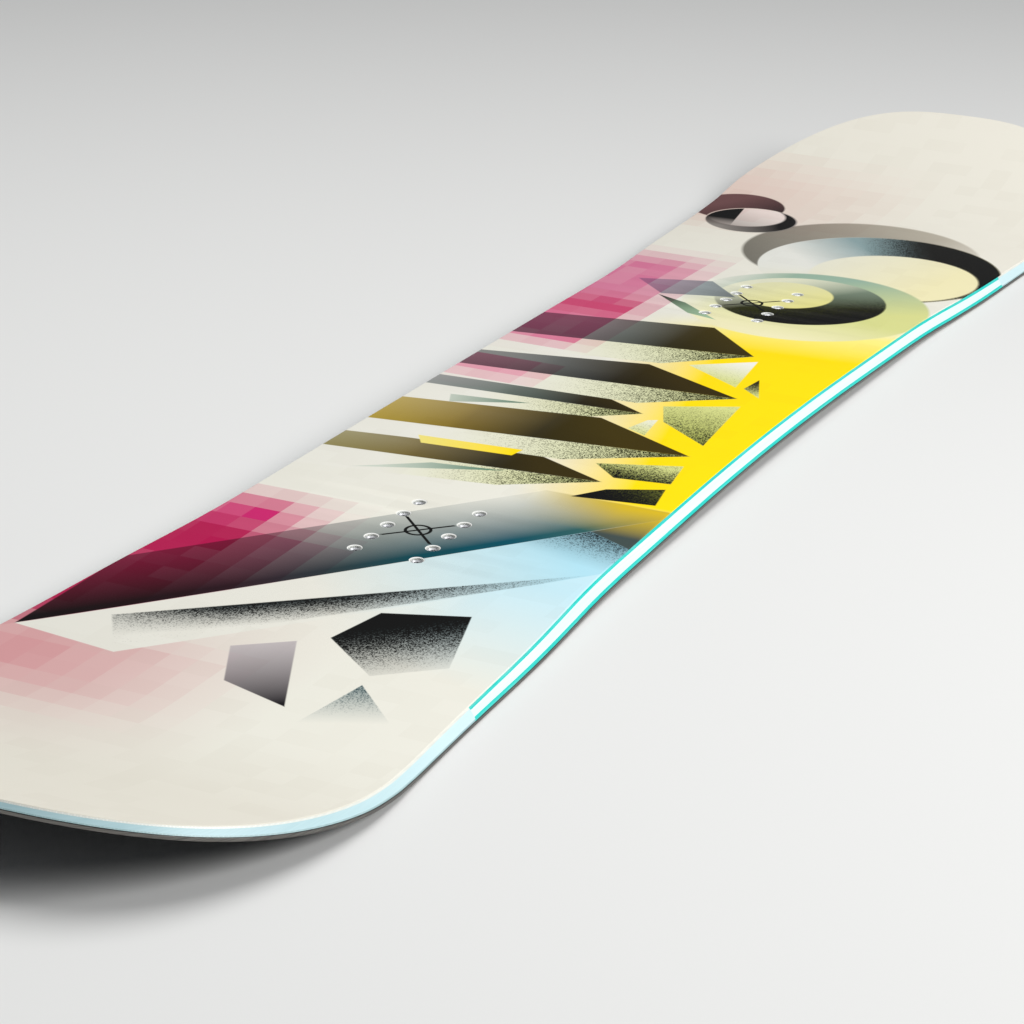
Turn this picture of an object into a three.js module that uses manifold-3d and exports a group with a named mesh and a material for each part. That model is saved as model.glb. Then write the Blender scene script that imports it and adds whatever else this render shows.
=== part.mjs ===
// A bare camber snowboard of sandwich construction, as it leaves the press: base, steel edges, two
// fibreglass laminates, a wood core between sidewalls and tip fills, threaded inserts, and a topsheet.
//
// Millimetres. X runs from tail to nose, +Y is the left edge, Z is up, and Z = 0 is the ground that the
// base rests on. Heights are measured upwards from the running face of the base, straight up.
// Offsets are measured outwards from the rim of the topsheet, square to that rim.
import * as THREE from 'three';
import { mergeVertices } from 'three/addons/utils/BufferGeometryUtils.js';
import Module from 'manifold-3d';

const wasm = await Module();
wasm.setup();

// Plan of the topsheet.
const HALF_LENGTH = 735;
const HALF_WAIST = 117;
const HALF_WIDEST = 142.2;
const WIDEST_X = 570;
const BITE_DEPTH = 2.1;      // the rim grips a little more just outside each foot
const BITE_X = 331;
const BITE_SPREAD = 60;
const TIP_POWER_X = 1.88;    // the tips are superellipses
const TIP_POWER_Y = 2.86;
const TIP_ANGLE = 90;        // degrees round a tip, from its widest point to the centre line

// Side view.
const CAMBER = 6.8;
const CONTACT_X = 520;
const TIP_RISE = 43.5;
const THICKNESS = 10.8;
const TIP_THICKNESS = 6.8;
const FLAT_START = 200;      // straight stretch under each foot, where the inserts are
const FLAT_END = 320;

// Layers, from the running face upwards, with a bond line between each two.
const BOND = 0.1;
const BASE = 1.4;
const EDGE_HEIGHT = 1.9;
const EDGE_WIDTH = 2;
const FLANGE_WIDTH = 6;
const FLANGE = 0.4;
const FOIL = 0.2;
const FOIL_SETBACK = 0.4;
const LOWER_GLASS = 0.6;
const UPPER_GLASS = 0.75;
const TOPSHEET = 0.5;
const CORE_FLOOR = EDGE_HEIGHT + FOIL + LOWER_GLASS + 3 * BOND;
const CORE_DEPTH = TOPSHEET + UPPER_GLASS + 2 * BOND;

// Sidewalls, tip fills and core.
const SIDE_FLARE = 5.5;      // how far the edge stands out past the topsheet at the waist
const FLARE_SLOPE = SIDE_FLARE / (THICKNESS - EDGE_HEIGHT);
const SIDEWALL_INSET = 7;
const SIDEWALL_NOSE_X = 461;
const SIDEWALL_TAIL_X = -425;
const LOWER_STRIPE = 0.9;
const UPPER_STRIPE = 0.6;
const TIP_FILL_WIDTH = 45;
const STRINGER_SEAMS = [0, 34, 68, 98, 160];

// Binding inserts.
const STANCE = 520;
const INSERT_PITCH = 20;
const INSERT_ROWS = 5;
const INSERT_SPREAD = 40;
const INSERT_HEIGHT = 6.25;
const INSERT_FLANGE_RADIUS = 9;
const INSERT_FLANGE = 1;
const INSERT_RADIUS = 4.8;
const BORE_RADIUS = 2.5;
const BORE_MOUTH_RADIUS = 3.3;
const BORE_MOUTH = 0.9;
const MOUTH_RADIUS = 4;      // hole in the topsheet and in the laminate under it
const FIT = 0.15;
const ROUND_SIDES = 12;

const SIDE_STEPS = [[0, FLAT_START, 4], [FLAT_START, FLAT_END, 3], [FLAT_END, WIDEST_X, 5]];
const TIP_STEPS = 12;
const LAST_TIP_ANGLE = 88.8; // the last station before the centre line
const DEGREE = Math.PI / 180;

// ---- shape of the board ----

const TIP = WIDEST_X + TIP_ANGLE;

// Where the rim is: a number up to WIDEST_X is a distance from the middle, and past it degrees round the tip.
function rimPoint(along) {
  if (along <= WIDEST_X) {
    const wave = (along - BITE_X) / BITE_SPREAD;
    const sidecut = (HALF_WIDEST - HALF_WAIST) * (along / WIDEST_X) ** 2;
    return [along, HALF_WAIST + sidecut + BITE_DEPTH * wave * Math.exp(-wave * wave / 2)];
  }
  const reach = Math.sin((along - WIDEST_X) * DEGREE);
  const width = (1 - reach ** TIP_POWER_X) ** (1 / TIP_POWER_Y);
  return [WIDEST_X + (HALF_LENGTH - WIDEST_X) * reach, rimPoint(WIDEST_X)[1] * width];
}

// A place on the rim with the way that faces outwards there.
function station(along, end) {
  if (along === TIP) {
    return { x: end * HALF_LENGTH, y: 0, nx: end, ny: 0 };
  }
  const step = 0.5;
  const [x, y] = rimPoint(along);
  const [x0, y0] = rimPoint(Math.max(along - step, 0));
  const [x1, y1] = rimPoint(along + step);
  const run = Math.hypot(x1 - x0, y1 - y0);
  return { x: end * x, y, nx: end * (y0 - y1) / run, ny: (x1 - x0) / run };
}

// Stations of one half of the rim, from one place to another. Unless it is a tip, each end is cut square.
function halfRim(from, to, end) {
  const list = [from];
  for (const [start, stop, steps] of SIDE_STEPS) {
    for (let i = 1; i <= steps; i++) {
      list.push(start + (stop - start) * i / steps);
    }
  }
  for (let i = 1; i <= TIP_STEPS; i++) {
    list.push(WIDEST_X + LAST_TIP_ANGLE * i / TIP_STEPS);
  }
  const kept = list.filter((along, i) => along >= from && along < to && list.indexOf(along) === i);
  return [...kept, to].map((along) => {
    const at = station(along, end);
    return along === TIP || (along !== from && along !== to) ? at : { ...at, nx: 0, ny: 1 };
  });
}

// Stations of the left rim from a place behind the middle to a place in front of it.
function rim(tail, nose) {
  return [...halfRim(0, tail, -1).slice(1).reverse(), ...halfRim(0, nose, 1)];
}

const WHOLE_RIM = rim(TIP, TIP);
const NOSE_RIM = halfRim(SIDEWALL_NOSE_X + FIT, TIP, 1);
const TAIL_RIM = halfRim(-SIDEWALL_TAIL_X + FIT, TIP, -1).reverse();
const SIDEWALL_RIM = rim(-SIDEWALL_TAIL_X, SIDEWALL_NOSE_X);

function freeCurve(x) {
  const out = Math.abs(x);
  const arch = CAMBER * (1 + Math.cos(Math.PI * Math.min(out / CONTACT_X, 1))) / 2;
  const lift = Math.max(out - CONTACT_X, 0) / (HALF_LENGTH - CONTACT_X);
  return arch + TIP_RISE * lift ** 2;
}

// Top of the topsheet, before the board is set down on the ground.
function topCurve(x) {
  const out = Math.abs(x);
  if (out <= FLAT_START || out >= FLAT_END) {
    return freeCurve(out);
  }
  return THREE.MathUtils.mapLinear(out, FLAT_START, FLAT_END, freeCurve(FLAT_START), freeCurve(FLAT_END));
}

function thickness(x) {
  const out = Math.max(Math.abs(x), FLAT_END);
  return THREE.MathUtils.mapLinear(out, FLAT_END, HALF_LENGTH, THICKNESS, TIP_THICKNESS);
}

const GROUND = Math.min(...WHOLE_RIM.map(({ x }) => topCurve(x) - thickness(x)));
const runningFace = (x) => topCurve(x) - thickness(x) - GROUND;

// How far the flank stands outside the topsheet at a height, and at the steel edge.
const flank = (x, height) => FLARE_SLOPE * (thickness(x) - height);
const edgeFace = (x) => flank(x, EDGE_HEIGHT);
const coreRoof = (x) => thickness(x) - CORE_DEPTH;

function place(at, side, [offset, height]) {
  const x = at.x + offset * at.nx;
  return new THREE.Vector3(x, side * (at.y + offset * at.ny), runningFace(x) + height);
}

// ---- making closed bodies ----

const meet = (a, b) => a.distanceTo(b) < BOND / 10;

function bodyOf(points, triangles) {
  const kept = [];
  for (let i = 0; i < triangles.length; i += 3) {
    const [a, b, c] = triangles.slice(i, i + 3);
    const [p, q, r] = [points[a], points[b], points[c]];
    if (!meet(p, q) && !meet(q, r) && !meet(r, p)) {
      kept.push(a, b, c);
    }
  }
  return new THREE.BufferGeometry().setFromPoints(points).setIndex(kept);
}

// A closed body through sections that run anticlockwise about the way they follow each other. A section
// whose two halves meet on the centre line needs no cap.
function loft(sections, outline) {
  const count = outline.length;
  const last = (sections.length - 1) * count;
  const triangles = [];
  for (let start = 0; start < last; start += count) {
    for (let j = 0; j < count; j++) {
      const a = start + j;
      const b = start + (j + 1) % count;
      triangles.push(a, b, b + count, a, b + count, a + count);
    }
  }
  for (const [a, b, c] of THREE.ShapeUtils.triangulateShape(outline, [])) {
    if (!meet(sections[0][0], sections[0][count - 1])) {
      triangles.push(c, b, a);
    }
    if (!meet(sections.at(-1)[0], sections.at(-1)[count - 1])) {
      triangles.push(last + a, last + b, last + c);
    }
  }
  return bodyOf(sections.flat(), triangles);
}

// A full-width layer. flankOf gives its left flank at an x, bottom to top, as offsets and heights.
function layer(stations, flankOf) {
  const sections = stations.map((at) => {
    const left = flankOf(at.x);
    const right = left.map((corner) => place(at, -1, corner)).reverse();
    return [...right, ...left.map((corner) => place(at, 1, corner))];
  });
  const middle = sections[Math.floor(sections.length / 2)];
  return loft(sections, middle.map(({ y, z }) => new THREE.Vector2(y, z)));
}

// A strip along one side of the board. sectionOf gives its section at an x, anticlockwise.
function strip(stations, side, sectionOf) {
  const sections = stations.map((at) => sectionOf(at.x).map((corner) => place(at, side, corner)));
  const outline = sectionOf(stations[0].x).map((corner) => new THREE.Vector2(...corner));
  if (side > 0) {
    return loft(sections, outline);
  }
  sections.reverse();
  return loft(sections, outline);
}

function solid(geometry) {
  const bare = geometry.clone();
  bare.deleteAttribute('normal');
  bare.deleteAttribute('uv');
  const merged = mergeVertices(bare, 1e-3);
  return new wasm.Manifold(new wasm.Mesh({
    numProp: 3,
    vertProperties: merged.attributes.position.array,
    triVerts: new Uint32Array(merged.index.array),
  }));
}

function geometryOf(cut) {
  const { vertProperties, triVerts } = cut.getMesh();
  const geometry = new THREE.BufferGeometry();
  geometry.setAttribute('position', new THREE.BufferAttribute(vertProperties, 3));
  geometry.setIndex(new THREE.BufferAttribute(triVerts, 1));
  return geometry;
}

function drill(geometry, cutters) {
  return geometryOf(cutters.reduce((rest, cutter) => rest.subtract(solid(cutter)), solid(geometry)));
}

// ---- materials ----

function finish(color, roughness, metalness = 0) {
  return new THREE.MeshStandardMaterial({ color, roughness, metalness });
}

const FINISHES = {
  topsheet: finish(0xdedecf, 0.35),
  laminate: finish(0xb4d7d6, 0.4),
  teal: finish(0x2fd3c2, 0.4),
  white: finish(0xecf4f8, 0.4),
  tipFill: finish(0xbcdce4, 0.4),
  poplar: finish(0xd9bd8c, 0.7),
  paulownia: finish(0xc9a877, 0.75),
  steel: finish(0x8d8f92, 0.3, 1),
  rubber: finish(0x26272a, 0.8),
  base: finish(0x2b2e33, 0.45),
  stainless: finish(0xb9bcc0, 0.25, 1),
};

const board = new THREE.Group();

function add(name, geometry, slot) {
  const mesh = new THREE.Mesh(geometry, FINISHES[slot].clone());
  mesh.name = name;
  board.add(mesh);
  return mesh;
}

const SIDES = [['left', 1], ['right', -1]];

// ---- inserts ----

// The places of the twenty inserts, each with the tilt of the board there.
function insertPlaces() {
  const places = [];
  for (const [pack, end] of [['nose', 1], ['tail', -1]]) {
    for (const [column, side] of SIDES) {
      for (let row = 0; row < INSERT_ROWS; row++) {
        const x = end * (STANCE / 2 + INSERT_PITCH * (row - (INSERT_ROWS - 1) / 2));
        const fall = (freeCurve(FLAT_START) - freeCurve(FLAT_END)) / (FLAT_END - FLAT_START);
        places.push({
          name: `insert_${pack}_${column}_${row + 1}`,
          spot: new THREE.Vector3(x, side * INSERT_SPREAD / 2, runningFace(x) + CORE_FLOOR),
          tilt: end * Math.atan(fall),
          inner: side,
        });
      }
    }
  }
  return places;
}

const INSERTS = insertPlaces();

function turned(profile) {
  const points = profile.map(([r, z]) => new THREE.Vector2(r, z));
  return new THREE.LatheGeometry(points, ROUND_SIDES).rotateX(Math.PI / 2);
}

function atInsert(geometry, { spot, tilt }) {
  return geometry.rotateY(tilt).translate(spot.x, spot.y, spot.z);
}

// A flanged steel nut, closed at the bottom so that no resin runs into its thread.
function insertBody() {
  return turned([
    [0, 0],
    [INSERT_FLANGE_RADIUS, 0],
    [INSERT_FLANGE_RADIUS, INSERT_FLANGE],
    [INSERT_RADIUS, INSERT_FLANGE],
    [INSERT_RADIUS, INSERT_HEIGHT],
    [BORE_MOUTH_RADIUS, INSERT_HEIGHT],
    [BORE_RADIUS, INSERT_HEIGHT - BORE_MOUTH],
    [BORE_RADIUS, INSERT_FLANGE],
    [0, INSERT_FLANGE],
  ]);
}

// What is drilled out of the core for an insert: its barrel, and a seat for its flange from below.
function insertPocket() {
  const past = 2 * INSERT_HEIGHT;
  return turned([
    [0, -past],
    [INSERT_FLANGE_RADIUS + FIT, -past],
    [INSERT_FLANGE_RADIUS + FIT, INSERT_FLANGE + FIT],
    [INSERT_RADIUS + FIT, INSERT_FLANGE + FIT],
    [INSERT_RADIUS + FIT, past],
    [0, past],
  ]);
}

// What is drilled from above through the topsheet and the laminate under it.
function mouth() {
  const [from, to] = [INSERT_FLANGE, THICKNESS];
  return turned([[0, from], [MOUTH_RADIUS, from], [MOUTH_RADIUS, to], [0, to]]);
}

const mouths = INSERTS.map((insert) => atInsert(mouth(), insert));

// ---- base, steel edges and damping foil ----

// The base is three sheets, and each steel edge is three lengths. They are butted together where the
// board leaves the ground.
const SEAM = BOND / 2;
const LENGTHS = [
  ['nose', halfRim(CONTACT_X + SEAM, TIP, 1)],
  ['middle', rim(CONTACT_X - SEAM, CONTACT_X - SEAM)],
  ['tail', halfRim(CONTACT_X + SEAM, TIP, -1).reverse()],
];

for (const [length, stations] of LENGTHS) {
  add(`base_${length}`, layer(stations, (x) => {
    const side = edgeFace(x) - EDGE_WIDTH - BOND;
    return [[side, 0], [side, BASE]];
  }), 'base');
}

// The rim stations of a strip that runs round a tip, up to a butt joint on the centre line.
const wrap = (stations) => stations.map((at) => ({ ...at, y: Math.max(at.y, BOND) }));

function edgeSection(x) {
  const face = edgeFace(x);
  const back = face - EDGE_WIDTH;
  const flange = EDGE_HEIGHT - FLANGE;
  return [
    [back, 0],
    [face, 0],
    [face, EDGE_HEIGHT],
    [back - FLANGE_WIDTH, EDGE_HEIGHT],
    [back - FLANGE_WIDTH, flange],
    [back, flange],
  ];
}

function foilSection(x) {
  const outer = edgeFace(x) - FOIL_SETBACK;
  const inner = edgeFace(x) - EDGE_WIDTH - FLANGE_WIDTH;
  const bottom = EDGE_HEIGHT + BOND;
  return [[inner, bottom], [outer, bottom], [outer, bottom + FOIL], [inner, bottom + FOIL]];
}

for (const [name, side] of SIDES) {
  for (const [length, stations] of LENGTHS) {
    add(`steel_edge_${name}_${length}`, strip(wrap(stations), side, edgeSection), 'steel');
  }
  add(`damping_foil_${name}`, strip(wrap(WHOLE_RIM), side, foilSection), 'rubber');
}

// ---- laminates and topsheet ----

// The lower laminate steps down onto the base inside the flanges of the steel edges.
add('lower_fibreglass', layer(WHOLE_RIM, (x) => {
  const step = edgeFace(x) - EDGE_WIDTH - FLANGE_WIDTH - 2 * BOND;
  const seat = EDGE_HEIGHT + FOIL + 2 * BOND;
  const top = seat + LOWER_GLASS;
  return [[step, BASE + BOND], [step, seat], [flank(x, seat), seat], [flank(x, top), top]];
}), 'laminate');

function topLayer(depth, height) {
  return drill(layer(WHOLE_RIM, (x) => {
    const top = thickness(x) - depth;
    return [[flank(x, top - height), top - height], [flank(x, top), top]];
  }), mouths);
}

add('upper_fibreglass', topLayer(TOPSHEET + BOND, UPPER_GLASS), 'laminate');
add('topsheet', topLayer(0, TOPSHEET), 'topsheet');

// ---- sidewalls ----

// Each sidewall is three bonded strips, a wide white one between two narrow teal ones.
const STRIPES = [
  ['lower', 'teal', () => CORE_FLOOR, () => CORE_FLOOR + LOWER_STRIPE],
  ['middle', 'white', () => CORE_FLOOR + LOWER_STRIPE + BOND, (x) => coreRoof(x) - UPPER_STRIPE - BOND],
  ['upper', 'teal', (x) => coreRoof(x) - UPPER_STRIPE, coreRoof],
];

for (const [name, side] of SIDES) {
  for (const [stripe, slot, floor, roof] of STRIPES) {
    add(`sidewall_${name}_${stripe}`, strip(SIDEWALL_RIM, side, (x) => [
      [-SIDEWALL_INSET, floor(x)],
      [flank(x, floor(x)), floor(x)],
      [flank(x, roof(x)), roof(x)],
      [-SIDEWALL_INSET, roof(x)],
    ]), slot);
  }
}

// ---- core and tip fills ----

// How far the side of the core lies inside the topsheet: the sidewall's width, and more round the tips.
function coreInset(x) {
  const end = x > 0 ? SIDEWALL_NOSE_X : -SIDEWALL_TAIL_X;
  const share = Math.max(Math.abs(x) - end, 0) / (HALF_LENGTH - end);
  return SIDEWALL_INSET + BOND + (TIP_FILL_WIDTH - SIDEWALL_INSET) * share;
}

const coreBlank = solid(layer(WHOLE_RIM, (x) => [[-coreInset(x), CORE_FLOOR], [-coreInset(x), coreRoof(x)]]));

const coreCutter = solid(layer(WHOLE_RIM, (x) => {
  const side = FIT - coreInset(x);
  return [[side, -THICKNESS], [side, 2 * THICKNESS]];
}));

function fill(stations) {
  const blank = layer(stations, (x) => {
    const roof = coreRoof(x);
    return [[flank(x, CORE_FLOOR), CORE_FLOOR], [flank(x, roof), roof]];
  });
  return geometryOf(solid(blank).subtract(coreCutter));
}

add('nose_tip_fill', fill(NOSE_RIM), 'tipFill');
add('tail_tip_fill', fill(TAIL_RIM), 'tipFill');

// A box that holds all of the core between two seams on one side.
function sawCut(side, from, to) {
  const width = to - from - BOND;
  const tall = 20 * THICKNESS;
  return new THREE.BoxGeometry(2 * HALF_LENGTH, width, tall).translate(0, side * (from + to) / 2, 0);
}

for (const [name, side] of SIDES) {
  for (let i = 0; i + 1 < STRINGER_SEAMS.length; i++) {
    const stringer = coreBlank.intersect(solid(sawCut(side, STRINGER_SEAMS[i], STRINGER_SEAMS[i + 1])));
    const held = i === 0 ? INSERTS.filter(({ inner }) => inner === side) : [];
    const drilled = drill(geometryOf(stringer), held.map((insert) => atInsert(insertPocket(), insert)));
    add(`core_stringer_${name}_${i + 1}`, drilled, i % 2 ? 'paulownia' : 'poplar');
  }
}

for (const insert of INSERTS) {
  const mesh = add(insert.name, insertBody(), 'stainless');
  mesh.rotation.y = insert.tilt;
  mesh.position.copy(insert.spot);
  mesh.position.z += (coreRoof(0) - CORE_FLOOR - INSERT_HEIGHT) / 2;
}

export default board;
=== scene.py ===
import math

import bpy
from mathutils import Matrix, Vector


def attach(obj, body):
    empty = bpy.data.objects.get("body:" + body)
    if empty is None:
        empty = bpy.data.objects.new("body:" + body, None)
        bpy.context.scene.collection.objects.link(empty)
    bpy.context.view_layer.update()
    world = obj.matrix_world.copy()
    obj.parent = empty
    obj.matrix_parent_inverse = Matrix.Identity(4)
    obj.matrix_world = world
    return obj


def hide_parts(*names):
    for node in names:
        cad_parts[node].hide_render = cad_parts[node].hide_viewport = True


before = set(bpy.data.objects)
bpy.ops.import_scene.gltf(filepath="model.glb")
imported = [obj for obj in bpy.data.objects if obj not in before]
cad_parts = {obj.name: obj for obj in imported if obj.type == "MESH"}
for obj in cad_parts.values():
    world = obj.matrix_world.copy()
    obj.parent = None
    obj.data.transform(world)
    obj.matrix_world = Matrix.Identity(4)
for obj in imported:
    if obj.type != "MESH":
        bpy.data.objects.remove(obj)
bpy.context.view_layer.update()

bpy.ops.object.select_all(action="DESELECT")

# ---- base ----
# The sole is three sheets of black sintered polyethylene, butted where the board leaves the ground and
# stone-ground along the board. Everything else is laid on it, so the plan and the side curve start here.
MM = 0.001
HALF_LENGTH = 735
HALF_WAIST = 117
HALF_WIDEST = 142.2
WIDEST_X = 570
CORNER_ROUNDING = 20
TIP_POWER_ALONG = 1.88
TIP_POWER_ACROSS = 2.86
BITE_DEPTH = 2.1
BITE_X = 331
BITE_SPREAD = 60
CAMBER = 6.8
CONTACT_X = 520
TIP_RISE = 43.5
THICKNESS = 10.8
TIP_THICKNESS = 6.8
FLAT_START = 200
FLAT_END = 320
SIDEWALL_NOSE_X = 461
FLARE = 5.5 / 8.9
EDGE_LINE = 1.9
EDGE_WIDTH = 2
BASE_THICKNESS = 1.45
BASE_TO_EDGE = 0.02


def plan_width(x):
    """Half the width of the topsheet, with a corner where the sidecut meets the tip. The sidecut is a plain
    curve, drawn in a little on the waist side of BITE_X and let out past it."""
    if x <= WIDEST_X:
        bite = (x - BITE_X) / BITE_SPREAD
        sidecut = (HALF_WIDEST - HALF_WAIST) * (x / WIDEST_X) ** 2
        return HALF_WAIST + sidecut + BITE_DEPTH * bite * math.exp(-bite * bite / 2)
    reach = min((x - WIDEST_X) / (HALF_LENGTH - WIDEST_X), 1)
    return HALF_WIDEST * (1 - reach ** TIP_POWER_ALONG) ** (1 / TIP_POWER_ACROSS)


def half_width(x):
    """Half the width of the topsheet, with that corner rounded off."""
    reach = max(CORNER_ROUNDING - abs(x - WIDEST_X) / 2, 0)
    return (plan_width(x - reach) + 2 * plan_width(x) + plan_width(x + reach)) / 4


def free_curve(x):
    """Height of the topsheet with its camber and its upturned tips, before it is made straight anywhere."""
    arch = CAMBER * (1 + math.cos(math.pi * min(abs(x) / CONTACT_X, 1))) / 2
    lift = max(abs(x) - CONTACT_X, 0) / (HALF_LENGTH - CONTACT_X)
    return arch + TIP_RISE * lift ** 2


def top_curve(x):
    """Height of the topsheet, which is straight under each foot, before the board is set down."""
    if not FLAT_START < abs(x) < FLAT_END:
        return free_curve(x)
    share = (abs(x) - FLAT_START) / (FLAT_END - FLAT_START)
    return free_curve(FLAT_START) * (1 - share) + free_curve(FLAT_END) * share


def thickness(x):
    """How thick the board is, which falls off from the feet to the tips."""
    share = max(abs(x) - FLAT_END, 0) / (HALF_LENGTH - FLAT_END)
    return THICKNESS + (TIP_THICKNESS - THICKNESS) * share


def flank(x, height):
    """How far the flank stands outside the topsheet at a height above the running face."""
    return FLARE * (thickness(x) - height)


def edge_face(x):
    """How far the face of the steel edge stands outside the topsheet."""
    return flank(x, EDGE_LINE)


# Places along half of the board, closer together round the tip, and the left rim from tail to nose.
side_places = sorted({*range(0, WIDEST_X + 1, 5), SIDEWALL_NOSE_X})
tip_turns = [1.5 * turn for turn in range(1, 60)] + [89.3, 90]
tip_places = [math.sin(math.radians(turn)) for turn in tip_turns]
half_places = side_places + [WIDEST_X + (HALF_LENGTH - WIDEST_X) * share for share in tip_places]
lowest = min(top_curve(x) - thickness(x) for x in half_places)
rim_line = [Vector((-x, half_width(x))) for x in reversed(half_places)]
rim_line += [Vector((x, half_width(x))) for x in half_places[1:]]
rim_line[0].y = rim_line[-1].y = 0


def running_face(x):
    """Height of the underside of the board when it stands on the ground."""
    return top_curve(x) - thickness(x) - lowest


def rim_stations():
    """Places along the left rim from tail to nose, each with the way that faces outwards there."""
    stations = []
    for i, here in enumerate(rim_line):
        before = rim_line[i - 1] if i else rim_line[1] * Vector((1, -1))
        after = rim_line[i + 1] if i + 1 < len(rim_line) else rim_line[-2] * Vector((1, -1))
        run = (after - before).normalized()
        stations.append((here.x, here.y, -run.y, run.x))
    return stations


LEFT_RIM = rim_stations()


def stretch(tail, nose, rim=LEFT_RIM):
    """The part of the left rim between two places along the board."""
    return [station for station in rim if tail - 0.01 < station[0] < nose + 0.01]


def spot(station, side, offset, height):
    """A place outside a station of the rim, on the left or right, at a height over the running face."""
    x, y, nx, ny = station
    out = x + offset * nx
    return Vector((out, side * (y + offset * ny), running_face(out) + height))


def laid_up(name, rows):
    """Wraps a flat grid round rows of places, merges its seam, closes its ends and turns its faces out."""
    along = len(rows) - 1
    around = len(rows[0])
    bpy.ops.mesh.primitive_grid_add(x_subdivisions=along, y_subdivisions=around, size=1, calc_uvs=False)
    piece = bpy.context.object
    piece.name = name
    for corner in piece.data.vertices:
        row = round((corner.co.x + 0.5) * along)
        turn = round((corner.co.y + 0.5) * around) % around
        corner.co = rows[row][turn] * MM
    bpy.ops.object.mode_set(mode="EDIT")
    bpy.ops.mesh.select_all(action="SELECT")
    bpy.ops.mesh.remove_doubles(threshold=0.000004)
    bpy.ops.mesh.select_all(action="DESELECT")
    bpy.ops.mesh.select_non_manifold()
    bpy.ops.mesh.fill_holes(sides=0)
    bpy.ops.mesh.select_all(action="SELECT")
    bpy.ops.mesh.normals_make_consistent(inside=False)
    bpy.ops.object.mode_set(mode="OBJECT")
    bpy.ops.object.shade_smooth_by_angle(angle=math.radians(30))
    return piece


def layer(name, stations, flank_of):
    """A sheet over the whole width. flank_of gives its left flank at an x, from the bottom up."""
    rows = []
    for station in stations:
        corners = flank_of(station[0])
        right = [spot(station, -1, *corner) for corner in reversed(corners)]
        rows.append(right + [spot(station, 1, *corner) for corner in corners])
    return laid_up(name, rows)


def shade(red, green, blue):
    """A colour as it is seen, on the scale from 0 to 255, for a shader."""
    parts = [part / 255 for part in (red, green, blue)]
    return tuple(p / 12.92 if p < 0.04045 else ((p + 0.055) / 1.055) ** 2.4 for p in parts) + (1,)


def add_node(net, kind, values=None, **settings):
    """A node of a material, with values or other nodes' outputs put into its sockets."""
    node = net.nodes.new("ShaderNode" + kind)
    for name, value in settings.items():
        setattr(node, name, value)
    for socket, value in (values or {}).items():
        if isinstance(value, bpy.types.NodeSocket):
            net.links.new(value, node.inputs[socket])
        else:
            node.inputs[socket].default_value = value
    return node


def new_finish(name):
    """An empty material, its node net, and where each point of the piece lies."""
    made = bpy.data.materials.new(name)
    made.use_nodes = True
    net = made.node_tree
    net.nodes.clear()
    return made, net, add_node(net, "TexCoord").outputs["Object"]


def close_finish(net, values, bump=None, strength=0.1, distance=0.0001):
    """The shader that ends a material, with a bump from a height if there is one."""
    if bump:
        relief = add_node(net, "Bump", {"Height": bump, "Strength": strength, "Distance": distance})
        values["Normal"] = relief.outputs["Normal"]
    shader = add_node(net, "BsdfPrincipled", values)
    out = add_node(net, "OutputMaterial")
    net.links.new(shader.outputs["BSDF"], out.inputs["Surface"])


def grained(net, place, stretch_by, scale, detail=4, rough=0.6):
    """A noise drawn out along the board by a Mapping node."""
    drawn = add_node(net, "Mapping", {"Vector": place, "Scale": stretch_by})
    noise = add_node(net, "TexNoise", {"Vector": drawn.outputs["Vector"], "Scale": scale,
                                       "Detail": detail, "Roughness": rough})
    return noise.outputs["Fac"]


def ramped(net, value, low, high, to_low=0.0, to_high=1.0):
    """A value taken from one range to another, and held inside it."""
    ranged = add_node(net, "MapRange", {"Value": value, "From Min": low, "From Max": high,
                                        "To Min": to_low, "To Max": to_high})
    return ranged.outputs["Result"]


def blended(net, factor, first, second):
    """One colour over another."""
    mixed = add_node(net, "Mix", {0: factor, 6: first, 7: second}, data_type="RGBA")
    return mixed.outputs[2]


base_finish, net, place = new_finish("stone-ground polyethylene")
grind = grained(net, place, (6, 900, 40), 1.0, detail=6)
mottle = grained(net, place, (1, 1, 1), 60.0)
colour = blended(net, ramped(net, grind, 0.35, 0.7), shade(24, 26, 30), shade(44, 47, 52))
colour = blended(net, ramped(net, mottle, 0.3, 0.8, 0, 0.4), colour, shade(33, 36, 41))
close_finish(net, {"Base Color": colour, "Roughness": ramped(net, grind, 0.3, 0.7, 0.34, 0.5)},
             bump=grind, strength=0.35, distance=0.00004)


def sole_flank(x):
    side = edge_face(x) - EDGE_WIDTH - BASE_TO_EDGE
    return [(side, 0), (side, BASE_THICKNESS)]


LENGTHS = (("nose", CONTACT_X, HALF_LENGTH), ("middle", -CONTACT_X, CONTACT_X),
           ("tail", -HALF_LENGTH, -CONTACT_X))

for length, tail, nose in LENGTHS:
    sheet = layer(f"base_{length}_sheet", stretch(tail, nose), sole_flank)
    sheet.data.materials.append(base_finish)
    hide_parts("base_" + length)
    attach(sheet, "root")

# ---- steel edges ----
# Rolled carbon steel strip, three lengths a side: a long one at the waist, and one bent round each tip to
# a butt joint on the centre line. Its thin flange is held between base and laminate. Its face is ground.
EDGE_HEIGHT = 1.95
FLANGE_WIDTH = 6
FLANGE_THICKNESS = 0.4
ROUND = 0.18
HALF_BUTT = 0.04

steel_finish, net, place = new_finish("ground carbon steel")
scratch = grained(net, place, (25, 25, 1800), 1.0, detail=5)
tarnish = grained(net, place, (1, 1, 1), 45.0)
colour = blended(net, ramped(net, scratch, 0.3, 0.7), shade(92, 90, 88), shade(132, 130, 126))
colour = blended(net, ramped(net, tarnish, 0.45, 0.75, 0, 0.35), colour, shade(112, 106, 100))
close_finish(net, {"Base Color": colour, "Metallic": 1.0,
                   "Roughness": ramped(net, scratch, 0.3, 0.7, 0.28, 0.44)},
             bump=scratch, strength=0.2, distance=0.00003)


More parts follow.
